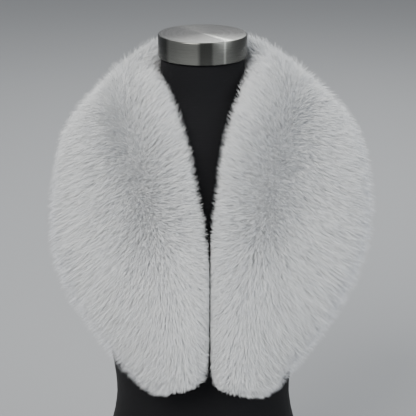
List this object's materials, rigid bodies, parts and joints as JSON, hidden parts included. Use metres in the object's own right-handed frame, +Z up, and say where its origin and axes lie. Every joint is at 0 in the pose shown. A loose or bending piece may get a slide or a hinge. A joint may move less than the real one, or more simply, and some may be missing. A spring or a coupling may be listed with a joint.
{
  "type": "fur collar wrap on a dress form",
  "caption": "Wide long-hair fur collar lying round the neck and down the chest of a limbless dress form with a steel neck cap.",
  "frame": {"origin": "middle of the flat base of the dress form", "axes": "+Z up the neck, -Y the way the chest faces, +X the right side of the picture"},
  "size_m": [0.3826, 0.2879, 0.66],
  "materials": {
    "fur": "long soft white pile with a cool grey undercoat",
    "pelt": "pale suede side of the pelt under the fur",
    "form_cover": "black stretch jersey, matt",
    "cap_steel": "turned top, satin side"
  },
  "bodies": {
    "root": {"form_body": "form_cover", "neck_cap": "cap_steel", "collar_back": "fur", "collar_left": "fur", "collar_right": "fur"}
  },
  "joints": []
}
